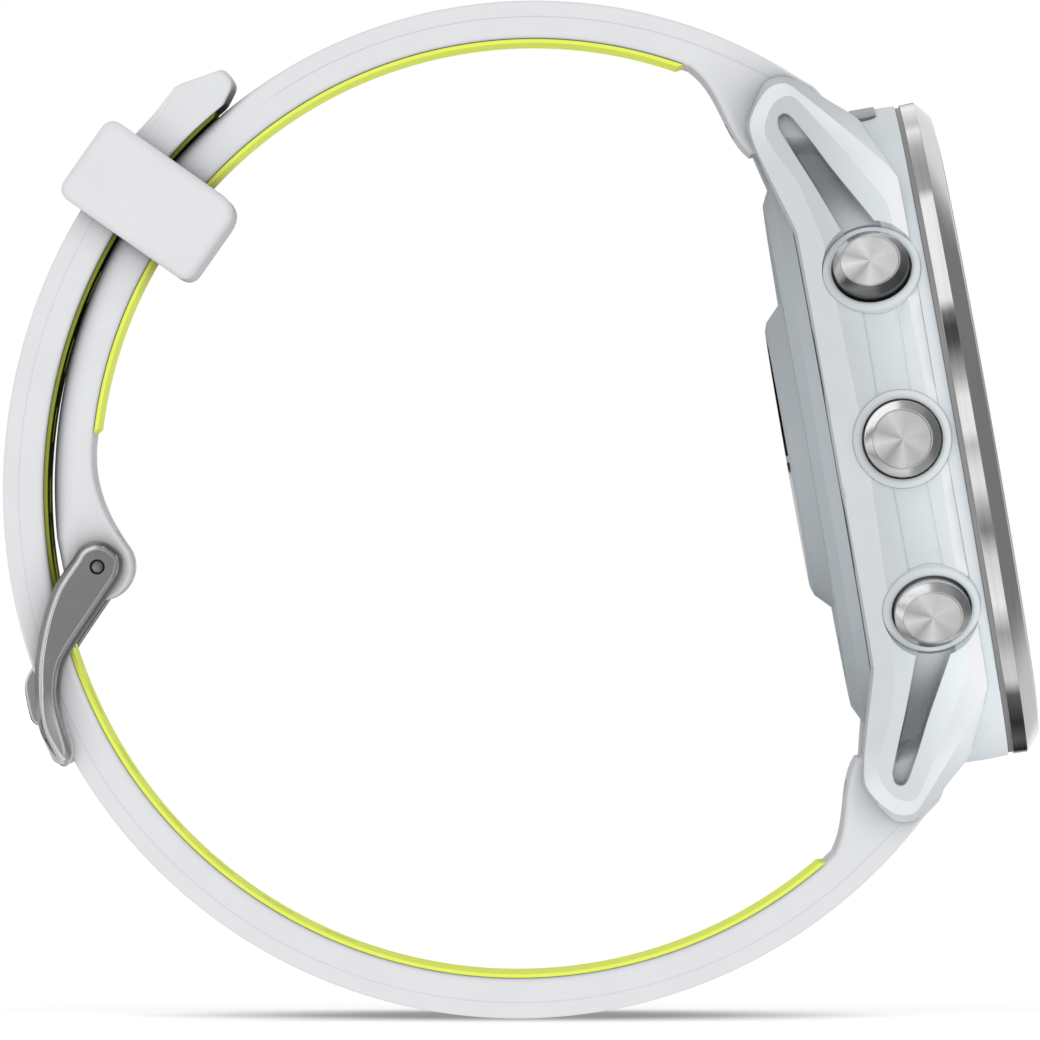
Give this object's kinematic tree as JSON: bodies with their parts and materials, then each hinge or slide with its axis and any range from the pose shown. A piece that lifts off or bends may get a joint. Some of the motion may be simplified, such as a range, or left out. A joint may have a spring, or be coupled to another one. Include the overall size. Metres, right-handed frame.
{
  "type": "gps running watch",
  "caption": "Round sports watch with side push buttons, a steel bezel and a two-colour silicone strap buckled into a closed loop.",
  "frame": {"origin": "centre of the wrist opening inside the closed strap loop, midway across the strap", "axes": "+X towards the display, +Y through the wrist opening towards the 3 o'clock side, +Z towards the 12 o'clock half of the strap"},
  "size_m": [0.0735, 0.0478, 0.0721],
  "materials": {
    "case_polymer": "fine matte moulded polymer, white with a slight blue cast",
    "back_polymer": "matte grey polymer",
    "steel": "brushed",
    "button_steel": "spun face, polished rim",
    "buckle_steel": "brushed sides, bright edges",
    "lens_glass": "polished",
    "sensor_glass": "polished, dark tinted",
    "torch_glass": "tinted window",
    "black_plastic": "matte",
    "circuit_board": "solder mask",
    "gold_contact": "gold plated",
    "led_body": "clear cap",
    "battery_foil": "foil",
    "flex_strip": "polyimide film",
    "seal_rubber": "soft black",
    "strap_silicone": "matte satin silicone, white",
    "liner_silicone": "matte silicone, yellow green"
  },
  "bodies": {
    "watch": {"case_body": "case_polymer", "side_rail_left": "case_polymer", "side_rail_right": "case_polymer", "back_cover": "back_polymer", "back_gasket": "seal_rubber", "back_screws": "steel", "sensor_housing": "back_polymer", "sensor_glass": "sensor_glass", "sensor_board": "circuit_board", "sensor_leds": "led_body", "sensor_photodiodes": "black_plastic", "charging_contacts": "gold_contact", "bezel": "steel", "bezel_gasket": "seal_rubber", "display_glass": "lens_glass", "display_panel": "black_plastic", "display_carrier": "black_plastic", "chassis": "black_plastic", "main_board": "circuit_board", "shield_cans": "steel", "battery": "battery_foil", "gnss_antenna": "gold_contact", "speaker": "black_plastic", "motor_can": "steel", "button_collars": "case_polymer", "switch_strip_left": "flex_strip", "switch_strip_right": "flex_strip", "torch_window": "torch_glass", "torch_led": "led_body", "lug_bar_top": "steel", "lug_bar_bottom": "steel", "strap_short": "strap_silicone", "strap_short_liner": "liner_silicone", "strap_long": "strap_silicone", "strap_long_liner": "liner_silicone", "buckle_pin": "steel"},
    "rotor": {"motor_rotor": "gold_contact"},
    "light_press": {"light_button": "button_steel", "light_clip": "steel", "light_seal": "seal_rubber"},
    "up_press": {"up_button": "button_steel", "up_clip": "steel", "up_seal": "seal_rubber"},
    "down_press": {"down_button": "button_steel", "down_clip": "steel", "down_seal": "seal_rubber"},
    "start_press": {"start_button": "button_steel", "start_clip": "steel", "start_seal": "seal_rubber"},
    "back_press": {"back_button": "button_steel", "back_clip": "steel", "back_seal": "seal_rubber"},
    "latch_top": {"release_latch_top": "steel"},
    "latch_bottom": {"release_latch_bottom": "steel"},
    "keeper": {"keeper_loop": "strap_silicone"},
    "buckle": {"buckle_frame": "buckle_steel"},
    "tongue": {"buckle_tongue": "buckle_steel"}
  },
  "joints": [
    {"name": "light_travel", "type": "slide", "parent": "watch", "child": "light_press", "axis": [0.0912, 0.8508, -0.5175], "range_m": [0, 0.0005], "stiffness_N_per_m": 400},
    {"name": "up_travel", "type": "slide", "parent": "watch", "child": "up_press", "axis": [0, 1, 0], "range_m": [0, 0.0005], "stiffness_N_per_m": 400},
    {"name": "down_travel", "type": "slide", "parent": "watch", "child": "down_press", "axis": [-0.0912, 0.8508, 0.5175], "range_m": [0, 0.0005], "stiffness_N_per_m": 400},
    {"name": "start_travel", "type": "slide", "parent": "watch", "child": "start_press", "axis": [0.0912, -0.8508, -0.5175], "range_m": [0, 0.0005], "stiffness_N_per_m": 400},
    {"name": "back_travel", "type": "slide", "parent": "watch", "child": "back_press", "axis": [-0.0912, -0.8508, 0.5175], "range_m": [0, 0.0005], "stiffness_N_per_m": 400},
    {"name": "top_latch_slide", "type": "slide", "parent": "watch", "child": "latch_top", "axis": [0, -1, 0], "range_m": [0, 0.0014], "stiffness_N_per_m": 300},
    {"name": "bottom_latch_slide", "type": "slide", "parent": "watch", "child": "latch_bottom", "axis": [0, -1, 0], "range_m": [0, 0.0014], "stiffness_N_per_m": 300},
    {"name": "rotor_spin", "type": "hinge", "parent": "watch", "child": "rotor", "pos_m": [0.02388, -0.0152, 0.00446], "axis": [0.9848, 0, 0.1736], "continuous": true},
    {"name": "keeper_slide", "type": "hinge", "parent": "watch", "child": "keeper", "pos_m": [0.0016, 0, 0.0016], "axis": [0, 1, 0], "range_deg": [-4, 4]},
    {"name": "buckle_swing", "type": "hinge", "parent": "watch", "child": "buckle", "pos_m": [-0.0299, 0, -0.00403], "axis": [0, 1, 0], "range_deg": [0, 3]},
    {"name": "tongue_swing", "type": "hinge", "parent": "buckle", "child": "tongue", "pos_m": [-0.0299, 0, -0.00403], "axis": [0, 1, 0], "range_deg": [0, 3]}
  ]
}
